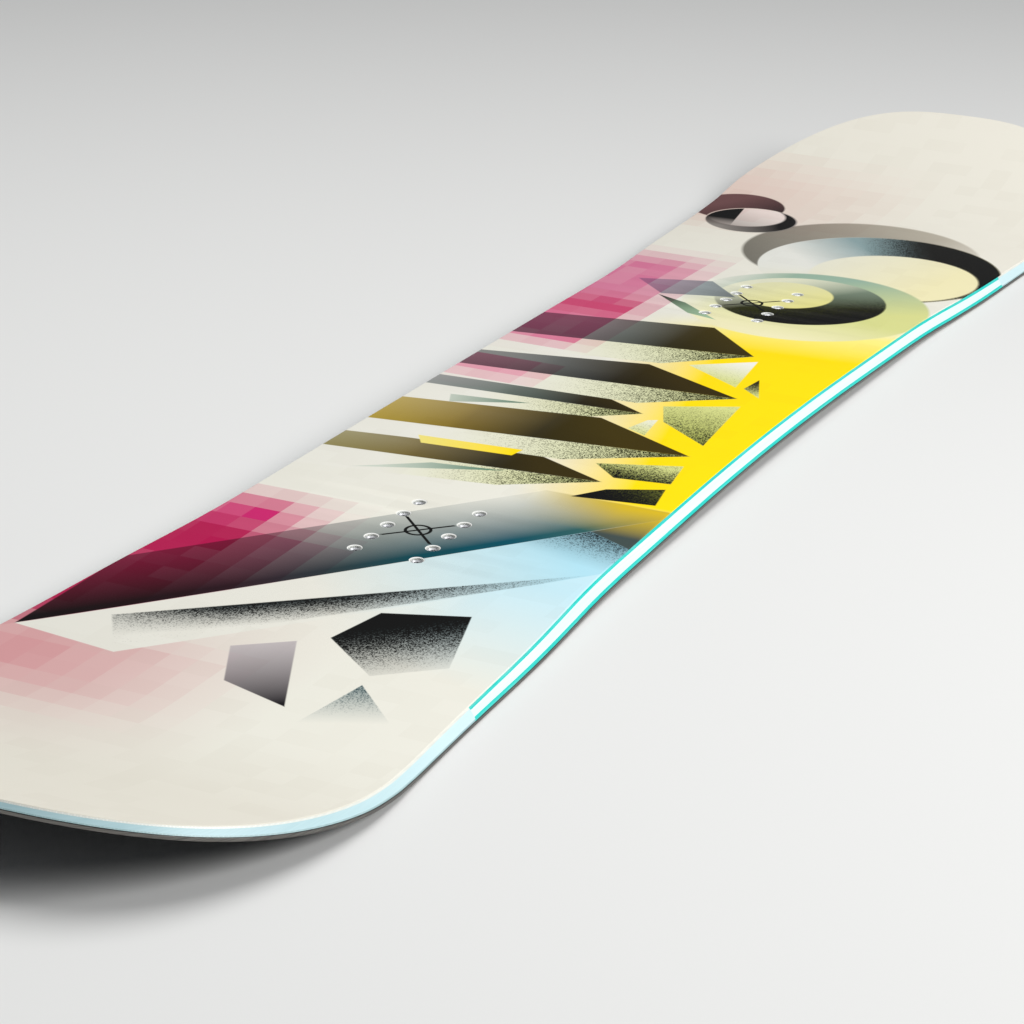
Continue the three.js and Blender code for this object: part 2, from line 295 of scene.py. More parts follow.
def strip(name, stations, side, section):
    """A strip along one side of the board. section gives its corners at an x, in order."""
    rows = [[spot(station, side, *corner) for corner in section(station[0])] for station in stations]
    return laid_up(name, rows)


def edge_section(x):
    face = edge_face(x)
    back = face - EDGE_WIDTH
    inner = back - FLANGE_WIDTH
    under = EDGE_HEIGHT - FLANGE_THICKNESS
    rounding = ((0, ROUND), (ROUND / 3, ROUND / 3), (ROUND, 0))
    foot = [(face - inwards, upwards) for upwards, inwards in rounding]
    head = [(face - inwards, EDGE_HEIGHT - down) for inwards, down in rounding]
    return [(back, 0), *foot, *head, (inner, EDGE_HEIGHT), (inner, under), (back, under)]


WRAP_RIM = [(x, max(y, HALF_BUTT), nx, ny) for x, y, nx, ny in LEFT_RIM]

for name, side in (("left", 1), ("right", -1)):
    for length, tail, nose in LENGTHS:
        rim = stretch(tail, nose, WRAP_RIM)
        edge = strip(f"steel_edge_{name}_{length}_ground", rim, side, edge_section)
        edge.data.materials.append(steel_finish)
        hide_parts(f"steel_edge_{name}_{length}")
        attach(edge, "root")

# ---- damping foil ----
# A thin ribbon of black rubber lies on each steel edge and its flange, and bonds it to the laminate.
FOIL_TOP = 2.25
FOIL_INSET = 0.25

rubber_finish, net, place = new_finish("matt rubber foil")
speck = grained(net, place, (1, 1, 1), 900.0)
colour = blended(net, ramped(net, speck, 0.35, 0.65), shade(22, 22, 24), shade(40, 41, 43))
close_finish(net, {"Base Color": colour, "Roughness": ramped(net, speck, 0.3, 0.7, 0.7, 0.9)},
             bump=speck, strength=0.2)


def foil_section(x):
    outer = edge_face(x) - FOIL_INSET
    inner = edge_face(x) - EDGE_WIDTH - FLANGE_WIDTH
    return [(inner, EDGE_HEIGHT), (outer, EDGE_HEIGHT), (outer, FOIL_TOP), (inner, FOIL_TOP)]


for name, side in (("left", 1), ("right", -1)):
    foil = strip(f"damping_foil_{name}_ribbon", WRAP_RIM, side, foil_section)
    foil.data.materials.append(rubber_finish)
    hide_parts("damping_foil_" + name)
    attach(foil, "root")

# ---- laminates ----
# Glass cloth in resin, pressed and then cut at the rim. The lower one steps down onto the base inside
# the flanges of the steel edges, and the upper one is drilled for the inserts with the topsheet.
LOWER_GLASS_TOP = 2.95
UPPER_GLASS_BELOW = 1.4
TOPSHEET_BELOW = 0.55
SIDEWALL_TAIL_X = -425
DYED_FROM = 100
TEAL = shade(18, 196, 186)
PALE_TEAL = shade(44, 218, 206)
MOUTH_RADIUS = 4
CLEAR_OF_TOP = 12
STANCE = 520
INSERT_ROWS = 5
INSERT_PITCH = 20
INSERT_SPREAD = 40
INSERT_FOOT = 3.05


def cloth_finish(name, tip_pale, tip_deep):
    """Glass weave, dyed teal where it lies on the sidewalls and clear elsewhere."""
    made, net, place = new_finish(name)
    across, along = (
        add_node(net, "TexWave", {"Vector": place, "Scale": 260.0, "Distortion": 0.6},
                 bands_direction=direction).outputs["Fac"]
        for direction in ("X", "Y"))
    weave = add_node(net, "Math", {0: across, 1: along}, operation="MULTIPLY").outputs["Value"]
    cloud = grained(net, place, (1, 1, 1), 35.0)
    where = add_node(net, "SeparateXYZ", {"Vector": place})
    past_tail = ramped(net, where.outputs["X"], (SIDEWALL_TAIL_X - 1) * MM, SIDEWALL_TAIL_X * MM)
    past_nose = ramped(net, where.outputs["X"], SIDEWALL_NOSE_X * MM, (SIDEWALL_NOSE_X + 1) * MM, 1, 0)
    waist = add_node(net, "Math", {0: past_tail, 1: past_nose}, operation="MULTIPLY").outputs["Value"]
    out = add_node(net, "Math", {0: where.outputs["Y"]}, operation="ABSOLUTE").outputs["Value"]
    outer = ramped(net, out, DYED_FROM * MM, (DYED_FROM + 1) * MM)
    dyed = add_node(net, "Math", {0: waist, 1: outer}, operation="MULTIPLY").outputs["Value"]
    clear = blended(net, weave, tip_deep, tip_pale)
    teal = blended(net, weave, TEAL, PALE_TEAL)
    colour = blended(net, dyed, clear, teal)
    colour = blended(net, ramped(net, cloud, 0.4, 0.8, 0, 0.2), colour, shade(214, 234, 232))
    close_finish(net, {"Base Color": colour, "Roughness": ramped(net, cloud, 0.3, 0.7, 0.3, 0.42)},
                 bump=weave, strength=0.1, distance=0.00005)
    return made


lower_finish = cloth_finish("lower glass cloth in resin", shade(172, 200, 202), shade(151, 181, 184))
# The upper cloth is painted near white beyond the sidewalls: partly its own clear colour, partly a painted
# highlight along the eased rim just above it.
upper_finish = cloth_finish("upper glass cloth in resin", shade(240, 240, 232), shade(222, 224, 216))


def insert_places():
    """Name, place and tilt of each of the twenty inserts."""
    places = []
    fall = (free_curve(FLAT_START) - free_curve(FLAT_END)) / (FLAT_END - FLAT_START)
    for pack, end in (("nose", 1), ("tail", -1)):
        for column, side in (("left", 1), ("right", -1)):
            for row in range(INSERT_ROWS):
                x = end * (STANCE / 2 + INSERT_PITCH * (row - (INSERT_ROWS - 1) / 2))
                foot = Vector((x, side * INSERT_SPREAD / 2, running_face(x) + INSERT_FOOT))
                places.append((f"insert_{pack}_{column}_{row + 1}", foot, end * math.atan(fall)))
    return places


def turned(name, profile):
    """Pulls a ring up through a profile of radii and heights, and closes both ends."""
    radius, height = profile[0]
    bpy.ops.mesh.primitive_circle_add(vertices=40, radius=radius * MM, fill_type="NOTHING",
                                      location=(0, 0, height * MM), calc_uvs=False)
    piece = bpy.context.object
    piece.name = name
    bpy.ops.object.transform_apply(location=True, rotation=True, scale=True)
    bpy.ops.object.mode_set(mode="EDIT")
    bpy.ops.mesh.select_all(action="SELECT")
    for next_radius, next_height in profile[1:]:
        rise = (0, 0, (next_height - height) * MM)
        grow = next_radius / radius
        bpy.ops.mesh.extrude_region_move(TRANSFORM_OT_translate={"value": rise})
        bpy.ops.transform.resize(value=(grow, grow, 1), center_override=(0, 0, 0))
        radius, height = next_radius, next_height
    bpy.ops.mesh.select_all(action="DESELECT")
    bpy.ops.mesh.select_non_manifold()
    bpy.ops.mesh.fill_holes(sides=0)
    bpy.ops.mesh.select_all(action="SELECT")
    bpy.ops.mesh.normals_make_consistent(inside=False)
    bpy.ops.object.mode_set(mode="OBJECT")
    bpy.ops.object.shade_smooth_by_angle(angle=math.radians(30))
    return piece


def copied(piece, name, foot, tilt):
    """A copy with its own mesh, leaned along the board and set down at its place."""
    copy = piece.copy()
    copy.data = piece.data.copy()
    copy.name = name
    bpy.context.collection.objects.link(copy)
    copy.data.transform(Matrix.Translation(foot * MM) @ Matrix.Rotation(tilt, 4, "Y"))
    return copy


def drilled(piece, drill_profile):
    """Cuts the twenty mouths of the inserts out of a sheet."""
    drill = turned("drill", drill_profile)
    bits = [copied(drill, "drill", foot, tilt) for _, foot, tilt in insert_places()]
    bpy.ops.object.select_all(action="DESELECT")
    for bit in bits:
        bit.select_set(True)
    bpy.context.view_layer.objects.active = bits[0]
    bpy.ops.object.join()
    cutter = bpy.context.object
    bpy.ops.object.select_all(action="DESELECT")
    piece.select_set(True)
    bpy.context.view_layer.objects.active = piece
    cut = piece.modifiers.new("mouths", "BOOLEAN")
    cut.operation = "DIFFERENCE"
    cut.solver = "EXACT"
    cut.object = cutter
    bpy.ops.object.modifier_apply(modifier=cut.name)
    for spare in (cutter, drill):
        bpy.data.objects.remove(spare)
    bpy.ops.object.shade_smooth_by_angle(angle=math.radians(30))
    return piece


def lower_glass_flank(x):
    step = edge_face(x) - EDGE_WIDTH - FLANGE_WIDTH
    return [(step, BASE_THICKNESS), (step, FOIL_TOP), (flank(x, FOIL_TOP), FOIL_TOP),
            (flank(x, LOWER_GLASS_TOP), LOWER_GLASS_TOP)]


def upper_glass_flank(x):
    foot = thickness(x) - UPPER_GLASS_BELOW
    head = thickness(x) - TOPSHEET_BELOW
    return [(flank(x, foot), foot), (flank(x, head), head)]


lower_glass = layer("lower_fibreglass_cloth", LEFT_RIM, lower_glass_flank)
upper_glass = layer("upper_fibreglass_cloth", LEFT_RIM, upper_glass_flank)
drilled(upper_glass, [(MOUTH_RADIUS, 3), (MOUTH_RADIUS, CLEAR_OF_TOP)])
for cloth, node, finish in ((lower_glass, "lower_fibreglass", lower_finish),
                            (upper_glass, "upper_fibreglass", upper_finish)):
    cloth.data.materials.append(finish)
    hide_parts(node)
    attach(cloth, "root")

# ---- sidewalls ----
# Each side is a bar of three ABS layers welded together, a wide white one between two narrow teal ones,
# planed to a slope after pressing. It runs along the wood core and stops short of both tips.
SIDEWALL_INSET = 7
LOWER_STRIPE_TOP = 3.95
UPPER_STRIPE_BELOW = 2.1


def planed_finish(name, deep, pale, cloudy, cloudiness, smooth, rough):
    """Plastic with the marks of the planer along it and a faint cloud in its colour."""
    made, net, place = new_finish(name)
    planing = grained(net, place, (12, 12, 1500), 1.0, detail=5)
    cloud = grained(net, place, (1, 1, 1), 20.0)
    colour = blended(net, ramped(net, planing, 0.3, 0.7), deep, pale)
    colour = blended(net, ramped(net, cloud, 0.4, 0.8, 0, cloudiness), colour, cloudy)
    close_finish(net, {"Base Color": colour, "Roughness": ramped(net, planing, 0.3, 0.7, smooth, rough)},
                 bump=planing, strength=0.12, distance=0.00003)
    return made


teal_finish = planed_finish("teal ABS", TEAL, PALE_TEAL, shade(60, 220, 208), 0.2, 0.34, 0.48)
white_finish = planed_finish("white ABS", shade(222, 236, 240), shade(234, 246, 249),
                             shade(214, 232, 238), 0.25, 0.32, 0.45)
STRIPES = (("lower", teal_finish, "teal_sidewall"), ("middle", white_finish, "white_sidewall"),
           ("upper", teal_finish, "teal_sidewall"))


def stripe_section(level, x):
    """The corners of a stripe at an x. Level 0 is the lowest stripe."""
    levels = (LOWER_GLASS_TOP, LOWER_STRIPE_TOP, thickness(x) - UPPER_STRIPE_BELOW,
              thickness(x) - UPPER_GLASS_BELOW)
    floor, roof = levels[level:level + 2]
    return [(-SIDEWALL_INSET, floor), (flank(x, floor), floor), (flank(x, roof), roof),
            (-SIDEWALL_INSET, roof)]


for name, side in (("left", 1), ("right", -1)):
    for level, (stripe, finish, slot) in enumerate(STRIPES):
        bar = strip(f"sidewall_{name}_{stripe}_bar", stretch(SIDEWALL_TAIL_X, SIDEWALL_NOSE_X), side,
                    lambda x: stripe_section(level, x))
        bar.data.materials.append(finish)
        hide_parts(f"sidewall_{name}_{stripe}")
        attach(bar, "root")

# ---- tip fills ----
# A horseshoe of pale blue ABS takes the place of the core and sidewalls round each tip, where wood
# would split. It is butted against the ends of the sidewalls. Its colour is painted paler there, a painted
# highlight where those flanks face the light, and is deeper towards the ends of the board.
TIP_FILL_WIDTH = 45
PAINTED_LIGHT_UP_TO = 500
PAINTED_LIGHT_GONE_FROM = 680

tip_finish, net, place = new_finish("pale blue ABS")
planing = grained(net, place, (30, 30, 1500), 1.0, detail=5)
cloud = grained(net, place, (1, 1, 1), 20.0)
along = add_node(net, "SeparateXYZ", {"Vector": place}).outputs["X"]
out = add_node(net, "Math", {0: along}, operation="ABSOLUTE").outputs["Value"]
colour = blended(net, ramped(net, planing, 0.3, 0.7), shade(166, 200, 206), shade(182, 212, 217))
# Painted highlight: the flank is paler up to 500 mm from the centre and back to its own blue by 680 mm.
colour = blended(net, ramped(net, out, PAINTED_LIGHT_UP_TO * MM, PAINTED_LIGHT_GONE_FROM * MM, 1, 0), colour, shade(206, 232, 236))
colour = blended(net, ramped(net, cloud, 0.4, 0.8, 0, 0.3), colour, shade(198, 224, 229))
close_finish(net, {"Base Color": colour, "Roughness": ramped(net, planing, 0.3, 0.7, 0.34, 0.46)},
             bump=planing, strength=0.12, distance=0.00003)


def fill_section(x):
    end = SIDEWALL_NOSE_X if x > 0 else -SIDEWALL_TAIL_X
    share = max(abs(x) - end, 0) / (HALF_LENGTH - end)
    inner = -SIDEWALL_INSET - (TIP_FILL_WIDTH - SIDEWALL_INSET) * share
    floor, roof = LOWER_GLASS_TOP, thickness(x) - UPPER_GLASS_BELOW
    return [(inner, floor), (flank(x, floor), floor), (flank(x, roof), roof), (inner, roof)]


for name, tail, nose in (("nose", SIDEWALL_NOSE_X, HALF_LENGTH), ("tail", -HALF_LENGTH, SIDEWALL_TAIL_X)):
    side_in = stretch(tail, nose)
    if name == "tail":
        side_in.reverse()
    side_out = [(x, -y, nx, -ny) for x, y, nx, ny in side_in[-2::-1]]
    horseshoe = strip(name + "_tip_fill_horseshoe", side_in + side_out, 1, fill_section)
    horseshoe.data.materials.append(tip_finish)
    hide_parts(name + "_tip_fill")
    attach(horseshoe, "root")

# ---- core ----
# Eight stringers of poplar and paulownia, glued side by side and planed thinner towards the tips. They
# keep the shape that they have in the model and get their grain here.


def wood_finish(name, pale, dark, rings):
    """Planed wood, with its year rings as wavy bands along the board and short dark pores."""
    made, net, place = new_finish(name)
    bend = grained(net, place, (1, 1, 1), 6.0, detail=2)
    drawn = add_node(net, "Mapping", {"Vector": place, "Scale": (0.6, 14, 14)}).outputs["Vector"]
    drift = add_node(net, "VectorMath", {0: drawn, 1: bend}, operation="ADD").outputs["Vector"]
    bands = add_node(net, "TexWave", {"Vector": drift, "Scale": rings, "Distortion": 3.0, "Detail": 3.0},
                     bands_direction="Y").outputs["Fac"]
    pores = grained(net, place, (30, 1500, 1500), 1.0, detail=3)
    colour = blended(net, bands, pale, dark)
    colour = blended(net, ramped(net, pores, 0.5, 0.7, 0, 0.35), colour, shade(110, 78, 44))
    close_finish(net, {"Base Color": colour, "Roughness": ramped(net, bands, 0, 1, 0.6, 0.75)},
                 bump=pores, strength=0.2, distance=0.00005)
    return made


poplar = wood_finish("planed poplar", shade(222, 200, 158), shade(198, 170, 122), 2.2)
paulownia = wood_finish("planed paulownia", shade(206, 176, 130), shade(172, 138, 92), 1.4)
for side in ("left", "right"):
    for number in range(1, 5):
        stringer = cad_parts[f"core_stringer_{side}_{number}"]
        stringer.data.materials.clear()
        stringer.data.materials.append(poplar if number % 2 else paulownia)

# ---- inserts ----
# Twenty turned stainless nuts with a flange under the wood and an M6 thread. They stand 20 mm apart
# along the board and 40 mm apart across it, just under the mouths in the topsheet.
BORE_RADIUS = 2.55
THREAD_RADIUS = 3.0

thread = []
for turn in range(4):
    thread += [(BORE_RADIUS, 5.35 - turn), (THREAD_RADIUS, 5.1 - turn), (THREAD_RADIUS, 4.95 - turn),
               (BORE_RADIUS, 4.7 - turn)]

flange = [(8.8, 0), (9, 0.2), (9, 0.8), (8.8, 1)]
barrel = [(5.0, 1), (4.8, 1.2), (4.8, 6.05), (4.6, 6.25), (3.35, 6.25)]

stainless_finish, net, place = new_finish("turned stainless steel")
tool_marks = grained(net, place, (700, 700, 2600), 1.0, detail=3)
colour = blended(net, ramped(net, tool_marks, 0.3, 0.7), shade(196, 197, 200), shade(222, 223, 225))
close_finish(net, {"Base Color": colour, "Metallic": 1.0,
                   "Roughness": ramped(net, tool_marks, 0.3, 0.7, 0.42, 0.55)},
             bump=tool_marks, strength=0.15, distance=0.00003)

pattern = turned("insert", [*flange, *barrel, *thread, (BORE_RADIUS, 1.2)])
for name, foot, tilt in insert_places():
    insert = copied(pattern, name + "_nut", foot, tilt)
    insert.data.materials.append(stainless_finish)
    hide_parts(name)
    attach(insert, "root")
bpy.data.objects.remove(pattern)

# ---- topsheet ----
# A half-millimetre sheet of satin polyamide, printed from below before pressing. Its rim is eased where
# the flank is planed, and it is dished a little round each insert.
EASE = 0.3
DISH_PROFILE = [(MOUTH_RADIUS, 5), (MOUTH_RADIUS, 7.25), (4.9, 7.7), (5.6, 7.82), (5.6, CLEAR_OF_TOP)]
SQUARE = 17
UNPRINTED_RADIUS = 4.5


def sheet_flank(x):
    head = thickness(x)
    foot = head - TOPSHEET_BELOW
    low, high = Vector((flank(x, head - EASE), head - EASE)), Vector((-EASE, head))
    corner = Vector((0, head))
    rounded = []
    for share in (0, 0.25, 0.5, 0.75, 1):
        point = low * (1 - share) ** 2 + corner * 2 * share * (1 - share) + high * share ** 2
        rounded.append((point.x, point.y))
    return [(flank(x, foot), foot), *rounded]


topsheet = layer("topsheet_print", LEFT_RIM, sheet_flank)
drilled(topsheet, DISH_PROFILE)

# The print is laid out in millimetres along and across the board, and each step puts one more ink on it.
print_finish, net, place = new_finish("printed satin topsheet")
on_sheet = add_node(net, "VectorMath", {0: place, 1: (1000, 1000, 0), 2: (0, 0, 1)},
                    operation="MULTIPLY_ADD").outputs["Vector"]
grains = add_node(net, "TexVoronoi", {"Vector": on_sheet, "Scale": 1.5}, voronoi_dimensions="2D")
spray = add_node(net, "SeparateColor", {"Color": grains.outputs["Color"]}).outputs["Red"]
cell = add_node(net, "VectorMath", {0: on_sheet, 1: (SQUARE, SQUARE, 1)},
                operation="SNAP").outputs["Vector"]
flicker = add_node(net, "TexWhiteNoise", {"Vector": cell}, noise_dimensions="2D").outputs["Value"]


def math_node(operation, *values):
    """What a Math node makes of its values."""
    return add_node(net, "Math", dict(enumerate(values)), operation=operation).outputs["Value"]


def measured(where, line):
    """The dot product of a place on the sheet with the three numbers of a line."""
    return add_node(net, "VectorMath", {0: where, 1: line}, operation="DOT_PRODUCT").outputs["Value"]


def past(first, second):
    """How many millimetres a place lies to the left of the way from one point to another."""
    run = math.dist(first, second)
    nx, ny = (first[1] - second[1]) / run, (second[0] - first[0]) / run
    return measured(on_sheet, (nx, ny, -nx * first[0] - ny * first[1]))


def fade(first, second, low=0.0, high=1.0):
    """A value that goes from low at one point to high at another, straight across the sheet."""
    dx, dy = second[0] - first[0], second[1] - first[1]
    size = dx * dx + dy * dy
    line = (dx / size, dy / size, -(first[0] * dx + first[1] * dy) / size)
    return ramped(net, measured(on_sheet, line), 0, 1, low, high)


def facet(*corners):
    """How far inside a facet a place lies. The facet has no inward corners."""
    area = sum(a[0] * b[1] - b[0] * a[1] for a, b in zip(corners, corners[1:] + corners[:1]))
    if area < 0:
        corners = corners[::-1]
    inside = None
    for first, second in zip(corners, corners[1:] + corners[:1]):
        side = past(first, second)
        inside = math_node("MINIMUM", inside, side) if inside else side
    return inside


def disc(centre, radius):
    """How far inside a disc a place lies."""
    away = add_node(net, "VectorMath", {0: on_sheet, 1: (*centre, 1)}, operation="DISTANCE")
    return math_node("SUBTRACT", radius, away.outputs["Value"])


def crescent(inside, centre, radius):
    """What another disc leaves of a disc."""
    return math_node("MINIMUM", inside, math_node("MULTIPLY", disc(centre, radius), -1.0))


def crisp(inside, soft=0.4):
    """1 inside a shape and 0 outside it, with an edge that is a little soft."""
    return ramped(net, inside, -soft, soft)


def times(first, second):
    """The product of two values, so that the one holds the other back."""
    return math_node("MULTIPLY", first, second)


def sprayed(amount, soft=0.34):
    """Airbrush grain: how much ink each grain takes of an amount."""
    return ramped(net, math_node("SUBTRACT", amount, spray), -soft, soft)


def between(value, low, rise, fall, high):
    """1 between the two middle ones of four values, and 0 beyond the outer ones."""
    return times(ramped(net, value, low, rise), ramped(net, value, fall, high, 1, 0))


def stained(factor, first, second):
    """One colour let through by another, as with a transparent ink."""
    mixed = add_node(net, "Mix", {0: factor, 6: first, 7: second}, data_type="RGBA", blend_type="MULTIPLY")
    return mixed.outputs[2]


CREAM = shade(224, 220, 207)
WHITE = shade(240, 238, 230)
INK = shade(10, 10, 9)
LIME = shade(214, 218, 140)
OLIVE = shade(40, 42, 10)
YELLOW = shade(255, 222, 4)
ICE = shade(176, 222, 236)
MINT = shade(150, 178, 158)
TEAL_INK = shade(28, 62, 70)

# Warm off-white ground, a little pinker ahead of the front foot and deeper at the nose.
ink = blended(net, fade((-470, 0), (-280, 0)), shade(233, 229, 216), shade(232, 230, 218))
ink = blended(net, times(fade((360, 0), (470, 0)), fade((0, 50), (0, -50))), ink, shade(221, 207, 198))
ink = blended(net, fade((540, 0), (640, 0)), ink, CREAM)

# Yellow sky along the left rim of the middle, sinking into cream, and paler towards the tail.
field = times(fade((0, -16), (-14, 52)), fade((196, 0), (164, 0)))
field = times(field, fade((-222, 10), (-188, 20)))
tone = blended(net, fade((-205, 60), (-150, 66)), shade(250, 238, 130), YELLOW)
ink = blended(net, field, ink, tone)

# Ice blue ahead of the front foot at the left rim, fading towards the nose.
ahead = times(crisp(past((216, 90), (290, 20))), fade((430, 70), (300, 100)))
ink = blended(net, times(ahead, fade((330, 10), (330, 74))), ink, shade(196, 230, 240))

# Dark wedge across the board under the front foot, from teal at the left rim to plum at the right one,
# deepest along its front. Its back fades out at the left rim, where it is gold, and is sharp further on.
wedge_depth = past((480, -130), (216, 90))
wedge = crisp(facet((168, 124), (175, 124), (480, -130), (372, -130), (168, 39)))
tone = add_node(net, "ValToRGB", {"Fac": fade((216, 90), (476, -126))})
stops = tone.color_ramp.elements
stops[0].position, stops[0].color = 0.0, shade(48, 94, 92)
stops[1].position, stops[1].color = 1.0, shade(12, 3, 7)
for position, colour in ((0.14, shade(0, 78, 94)), (0.32, shade(0, 68, 78)), (0.46, shade(40, 58, 62)),
                         (0.62, shade(50, 40, 46)), (0.78, shade(36, 16, 28))):
    stops.new(position).color = colour
loss = times(ramped(net, wedge_depth, 6, 68), fade((234, 75), (346, -18), 0.86, 0.38))
ink = blended(net, times(wedge, math_node("SUBTRACT", 1.0, loss)), ink, tone.outputs["Color"])
brow = crisp(facet((175, 124), (216, 90), (240, 124)))
tone = blended(net, fade((180, 0), (214, 0)), shade(150, 140, 70), shade(64, 76, 74))
ink = blended(net, brow, ink, tone)
gold = times(fade((216, 0), (172, 0)), fade((0, 36), (0, 92)))
gold = times(gold, fade((166, 0), (169, 0)))
ink = blended(net, times(gold, fade((262, 0), (232, 0))), ink, shade(212, 180, 36))

# Long pale blade in front of the wedge, dark and sprayed at its root, and the shadow that it throws.
blade = crisp(facet((216, 90), (480, -130), (488, -62), (268, 124), (232, 124)))
clear_of_blade = math_node("SUBTRACT", 1.0, blade)
tone = blended(net, fade((250, 90), (352, -20)), ICE, shade(229, 227, 216))
ink = blended(net, blade, ink, tone)
ink = blended(net, times(blade, fade((264, 98), (214, 106), 0, 0.8)), ink, TEAL_INK)
ink = blended(net, times(blade, sprayed(fade((258, 98), (210, 108), -0.34, 0.9))), ink, shade(10, 18, 24))
shadow = crisp(facet((276, 116), (300, 97), (482, -66), (446, -90)), 0.6)
reach = ramped(net, past((446, -90), (276, 116)), -30, 0, 0, 1.25)
run = times(fade((276, 116), (366, 8), 0.05, 1), fade((470, -100), (410, -40), 0.1, 1))
depth = times(reach, run)
ink = blended(net, times(shadow, times(depth, 0.8)), ink, shade(40, 60, 64))
ink = blended(net, times(shadow, sprayed(math_node("SUBTRACT", depth, 0.25))), ink, INK)

# Three loose crystals ahead of the front foot, each sprayed darker at one end.
kite = crisp(facet((358, 84), (376, 38), (418, 30), (452, 72), (424, 104)))
ink = blended(net, times(kite, fade((392, 50), (444, 98), 1, 0)), ink, shade(44, 62, 66))
ink = blended(net, times(kite, sprayed(fade((390, 46), (438, 92), 1.34, -0.34))), ink, INK)
shard = crisp(facet((430, 16), (452, -12), (492, 8), (506, 52)))
tone = blended(net, fade((504, 48), (440, -4)), shade(18, 14, 20), shade(196, 188, 188))
ink = blended(net, shard, ink, tone)
chip = crisp(facet((464, 74), (524, 66), (500, 110)))
ink = blended(net, times(chip, fade((452, 70), (506, 96), 1, 0)), ink, shade(92, 122, 126))
ink = blended(net, times(chip, sprayed(fade((456, 70), (500, 92), 0.8, -0.34))), ink, TEAL_INK)

# Five peaks of uneven height that rise from the right rim into the yellow. Each has a dark face, black
# at its top and paler at its root with a faint painted sheen, and a light one that is sprayed dark at its
# top.
for tip, shoulder, feet, elbow, foot, deep, middle, root_tone in (
        ((-136, 51), (-187, 1), ((-158, -130), (-104, -130)), (-90, 2), (-66, -130), shade(34, 30, 2),
         shade(104, 110, 106), shade(124, 124, 122)),
        ((14, 34), (-18, -22), ((-10, -130), (26, -130)), (50, -12), (62, -130), shade(14, 12, 2),
         shade(100, 112, 104), shade(150, 152, 150)),
        ((-44, 76), (-84, -4), ((-54, -130), (-22, -130)), (-4, 22), (6, -130), shade(12, 11, 2),
         shade(80, 82, 80), shade(120, 120, 118)),
        ((140, 62), (112, 2), ((134, -130), (162, -130)), (174, 8), (198, -130), shade(18, 17, 4),
         shade(110, 92, 24), shade(150, 140, 90)),
        ((74, 92), (34, 14), ((60, -130), (106, -130)), (116, 24), (130, -130), shade(38, 32, 2),
         shade(128, 104, 12), shade(182, 156, 60))):
    light = crisp(facet(tip, feet[1], foot, elbow))
    tone = blended(net, fade(tip, (foot[0], -60)), LIME, shade(233, 231, 220))
    ink = blended(net, light, ink, tone)
    ink = blended(net, times(light, sprayed(fade(tip, (elbow[0], -48), 1.0, -0.34))), ink, OLIVE)
    dark = crisp(facet(tip, shoulder, *feet))
    tone = blended(net, fade((0, -10), (0, -70)), deep, middle)
    tone = blended(net, fade((0, -60), (0, -124)), tone, root_tone)
    # Painted sheen: up to a tenth of white mixed into the dark face towards its first foot and the right
    # rim.
    painted_sheen = times(fade(feet[1], feet[0], 0, 0.1), fade((0, 0), (0, -90), 0, 1))
    ink = blended(net, dark, ink, blended(net, painted_sheen, tone, WHITE))
    ink = blended(net, times(dark, fade(shoulder, (tip[0], -36), 0.1, 0)), ink, shade(150, 120, 0))

# Loose chips among the peaks and over the yellow. Each goes from one colour to another, and most are
# sprayed black as well, from one amount to another.
for corners, first, second, near, far, spraying in (
        (((-126, 58), (-96, 20), (-66, 66)), (-120, 56), (-76, 50), WHITE, LIME, (-0.34, -0.1)),
        (((-30, 84), (-6, 40), (22, 52), (52, 92)), (-20, 70), (44, 80), LIME, shade(170, 176, 90),
         (-0.1, 0.55)),
        (((8, 46), (24, 42), (36, 22), (52, 52)), (14, 44), (50, 44), WHITE, LIME, (-0.3, 0.1)),
        (((92, 96), (112, 46), (130, 66), (124, 101)), (100, 84), (128, 84), LIME, shade(124, 130, 60),
         (0.1, 0.9)),
        (((134, 102), (150, 70), (170, 56), (161, 107)), (136, 92), (164, 76), shade(96, 100, 40), OLIVE,
         (0.5, 1.2)),
        (((-88, 74), (-66, 72), (-52, 88)), (-84, 74), (-54, 84), shade(70, 64, 10), LIME, (0.9, -0.1)),
        (((150, 2), (158, -44), (186, -84)), (152, -6), (176, -70), shade(84, 128, 102),
         shade(206, 214, 200), None),
        (((30, -38), (38, -92), (52, -86)), (32, -44), (44, -92), shade(96, 128, 108),
         shade(196, 204, 190), None),
        (((112, -4), (124, -6), (130, -66), (118, -74)), (116, -8), (126, -74), YELLOW,
         shade(240, 226, 130), None)):
    piece = crisp(facet(*corners))
    ink = blended(net, piece, ink, blended(net, fade(first, second), near, far))
    if spraying:
        ink = blended(net, times(piece, sprayed(fade(first, second, *spraying))), ink, INK)

# Three moons behind the rear foot. Each has a dark limb, and the large one throws a grey shadow.
shadow = crisp(disc((-430, 22), 91), 1.5)
tone = blended(net, fade((-516, 60), (-400, -70)), shade(178, 170, 154), shade(108, 104, 94))
ink = blended(net, times(shadow, fade((-470, 128), (-500, 60), 0.3, 0.95)), ink, tone)
moon = disc((-397, 48), 91)
tone = blended(net, fade((-400, -30), (-380, 100)), shade(226, 226, 216), shade(238, 230, 184))
ink = blended(net, crisp(moon), ink, tone)
limb = crisp(crescent(moon, (-379, 66), 63), 1.2)
tone = blended(net, fade((-468, 66), (-446, 16)), INK, shade(138, 162, 164))
tone = blended(net, fade((-452, 16), (-410, -28)), tone, shade(228, 228, 220))
ink = blended(net, times(limb, fade((-340, 0), (-380, 0))), ink, tone)
ink = blended(net, times(limb, sprayed(fade((-446, 10), (-462, 60), -0.34, 0.9))), ink, INK)

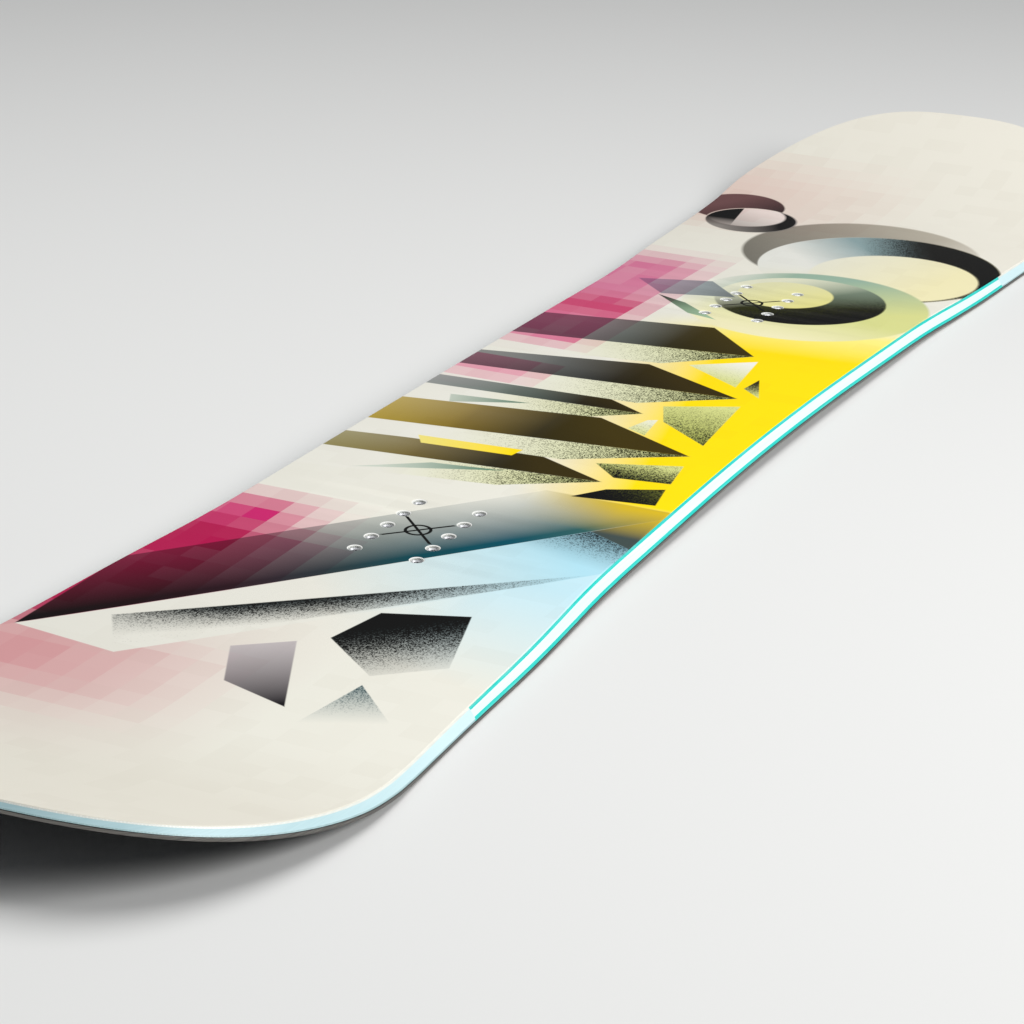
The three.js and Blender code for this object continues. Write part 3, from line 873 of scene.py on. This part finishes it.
# The middle moon has a pale halo and an eye, and two slivers lie beside it.
halo = crisp(disc((-273, 36), 89), 1.2)
tone = blended(net, fade((-340, 20), (-262, 70)), MINT, shade(214, 216, 142))
tone = blended(net, fade((-262, 60), (-190, 40)), tone, shade(240, 234, 190))
ink = blended(net, times(halo, fade((-290, -56), (-284, -8))), ink, tone)
moon = disc((-284, 28), 62)
tone = blended(net, fade((-346, 20), (-276, 56)), shade(146, 166, 146), shade(44, 46, 8))
tone = blended(net, fade((-262, 10), (-292, -30)), tone, shade(222, 222, 196))
face = crisp(moon, 0.8)
ink = blended(net, face, ink, tone)
ink = blended(net, times(face, sprayed(fade((-292, 34), (-252, 66), -0.34, 1.2))), ink, INK)
eye = disc((-293, 13), 35)
tone = blended(net, fade((-310, -10), (-276, 40)), shade(222, 220, 176), shade(226, 220, 140))
ink = blended(net, crisp(eye, 0.8), ink, tone)
sliver = crisp(facet((-268, -16), (-300, -47), (-280, -98), (-250, -67)))
tone = blended(net, fade((-270, -18), (-284, -96)), shade(110, 116, 116), shade(180, 190, 192))
ink = blended(net, sliver, ink, tone)
sliver = crisp(facet((-247, -68), (-236, -42), (-206, -6), (-212, -30)))
tone = blended(net, fade((-247, -68), (-206, -16)), shade(10, 24, 22), shade(160, 190, 156))
ink = blended(net, sliver, ink, tone)

# The small moon is out at the right rim, with its own shadow and a dark foot.
throw = crisp(crescent(disc((-514, -114), 38), (-482, -90), 36), 0.8)
tone = blended(net, fade((-512, -76), (-536, -120)), shade(40, 28, 30), shade(112, 84, 84))
ink = blended(net, throw, ink, tone)
moon = disc((-481, -89), 36)
tone = blended(net, fade((-506, -80), (-452, -104)), WHITE, shade(168, 164, 156))
ink = blended(net, crisp(moon), ink, tone)
limb = crisp(crescent(moon, (-491, -97), 31), 1.2)
tone = blended(net, fade((-472, -62), (-452, -104)), INK, shade(140, 136, 130))
ink = blended(net, limb, ink, tone)
dark_foot = crisp(math_node("MINIMUM", moon, past((-470, -100), (-516, -108))))
ink = blended(net, times(dark_foot, fade((-454, -110), (-478, -112))), ink, INK)

# Magenta and pink haze over it all in stepped squares, along the right rim. Most of it is kept off the
# blade.
along = measured(cell, (1, 0, 0))
across = measured(cell, (0, 1, 0))
behind_blade = crisp(wedge_depth)
for columns, rows, tint, depth, bounds in (
        ((228, 262, 440, 480), (-46, -100), shade(224, 38, 128), 1.0, behind_blade),
        ((272, 306, 440, 480), (-14, -66), shade(214, 84, 152), 0.75, behind_blade),
        ((-380, -330, -200, -170), (-52, -92), shade(230, 104, 166), 0.9, 1.0),
        ((-250, -206, -120, -84), (-60, -84), shade(236, 70, 150), 0.85, 1.0),
        ((-68, -52, -30, 2), (-52, -80), shade(246, 120, 172), 0.75, 1.0),
        ((440, 480, 520, 572), (10, -110), shade(240, 140, 164), 0.66, clear_of_blade),
        ((-660, -590, -500, -440), (20, -130), shade(240, 190, 190), 0.5, 1.0)):
    haze = times(between(along, *columns), ramped(net, across, *rows))
    haze = times(times(haze, ramped(net, flicker, 0, 1, 0.85 * depth, depth)), bounds)
    ink = stained(haze, ink, tint)

# Centre marks of the two binding positions, a thin ring and a cross.
for centre in (-STANCE / 2, STANCE / 2):
    ring = math_node("SUBTRACT", 1.0, math_node("ABSOLUTE", disc((centre, 0), 7.4)))
    ink = blended(net, crisp(ring, 0.2), ink, INK)
    for lean in (-1, 1):
        arm = facet((centre - 16, -16 * lean - 1.3), (centre - 16, -16 * lean + 1.3),
                    (centre + 16, 16 * lean + 1.3), (centre + 16, 16 * lean - 1.3))
        ink = blended(net, crisp(arm, 0.2), ink, INK)

# Faint squares all over, the unprinted dish round each insert, and the fine pebble of the sheet.
ink = stained(ramped(net, flicker, 0.4, 1, 0, 0.2), ink, shade(240, 238, 235))
mirrored = add_node(net, "VectorMath", {0: on_sheet}, operation="ABSOLUTE").outputs["Vector"]
to_row = add_node(net, "VectorMath", {0: mirrored, 1: (INSERT_PITCH / 2, 1000, 2),
                                      2: (-INSERT_PITCH / 2, 0, 0)},
                  operation="WRAP").outputs["Vector"]
away = add_node(net, "VectorMath", {0: to_row, 1: (0, INSERT_SPREAD / 2, 1)},
                operation="DISTANCE").outputs["Value"]
pack_end = INSERT_PITCH * INSERT_ROWS / 2
in_pack = between(measured(mirrored, (1, 0, 0)), STANCE / 2 - pack_end - 1, STANCE / 2 - pack_end,
                  STANCE / 2 + pack_end, STANCE / 2 + pack_end + 1)
dish = times(in_pack, ramped(net, away, UNPRINTED_RADIUS - 0.1, UNPRINTED_RADIUS + 0.1, 1, 0))
ink = blended(net, dish, ink, shade(240, 240, 236))
pebble = grained(net, place, (1, 1, 1), 1400.0, detail=2)
ripple = grained(net, place, (1, 1, 1), 55.0, detail=3)
relief = math_node("MULTIPLY_ADD", ripple, 3.0, pebble)
close_finish(net, {"Base Color": ink, "Roughness": ramped(net, pebble, 0.3, 0.7, 0.38, 0.48),
                   "Specular IOR Level": 0.1}, bump=relief, strength=0.12, distance=0.00006)

topsheet.data.materials.append(print_finish)
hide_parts("topsheet")
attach(topsheet, "root")

# ---- studio ----
# A plain pale floor under soft light from overhead and from the left, and a long lens that looks down
# the board from beyond the nose.
bpy.ops.mesh.primitive_plane_add(size=14, location=(0, 0, -0.0001))
floor = bpy.context.object
floor.name = "floor"
floor_finish, net, place = new_finish("pale floor")
close_finish(net, {"Base Color": shade(226, 226, 224), "Roughness": 0.9, "Specular IOR Level": 0.2})
floor.data.materials.append(floor_finish)

world = bpy.data.worlds.new("studio")
bpy.context.scene.world = world
world.use_nodes = True
surroundings = world.node_tree.nodes["Background"].inputs
surroundings["Color"].default_value = (0.92, 0.95, 1.0, 1)
surroundings["Strength"].default_value = 0.15


def soft_light(name, power, size, stand):
    """A round lamp that is aimed at the middle of the board."""
    bpy.ops.object.light_add(type="AREA", location=stand)
    lamp = bpy.context.object
    lamp.name = name
    lamp.data.energy = power
    lamp.data.shape = "DISK"
    lamp.data.size = size
    lamp.rotation_mode = "QUATERNION"
    lamp.rotation_quaternion = (-Vector(stand)).to_track_quat("-Z", "Y")


soft_light("overhead", 42, 2.2, (0.1, -0.3, 2.4))
soft_light("left", 58, 1.4, (0.1, 2.4, 1.4))

# The camera's bearing and its height over the horizon, the turn about its own axis, and the place that
# it looks at and how far that is.
azimuth, elevation, roll = math.radians(25.549), math.radians(20.712), math.radians(1.183)
back = Vector((math.cos(elevation) * math.cos(azimuth), math.cos(elevation) * math.sin(azimuth),
               math.sin(elevation)))
right = Vector((0, 0, 1)).cross(back).normalized()
up = back.cross(right)
tilted_right = math.cos(roll) * right + math.sin(roll) * up
tilted_up = math.cos(roll) * up - math.sin(roll) * right
aim, distance = Vector((0.176787, 0.020391, 0)), 1.87184
stand = aim + distance * back
bpy.ops.object.camera_add()
camera = bpy.context.object
camera.data.lens = 109.31
camera.data.sensor_width = 36
camera.data.clip_start, camera.data.clip_end = 0.05, 60
camera.matrix_world = Matrix((
    (tilted_right.x, tilted_up.x, back.x, stand.x),
    (tilted_right.y, tilted_up.y, back.y, stand.y),
    (tilted_right.z, tilted_up.z, back.z, stand.z),
    (0, 0, 0, 1)))
bpy.context.scene.camera = camera
bpy.context.scene.view_settings.view_transform = "Standard"

bpy.context.view_layer.update()
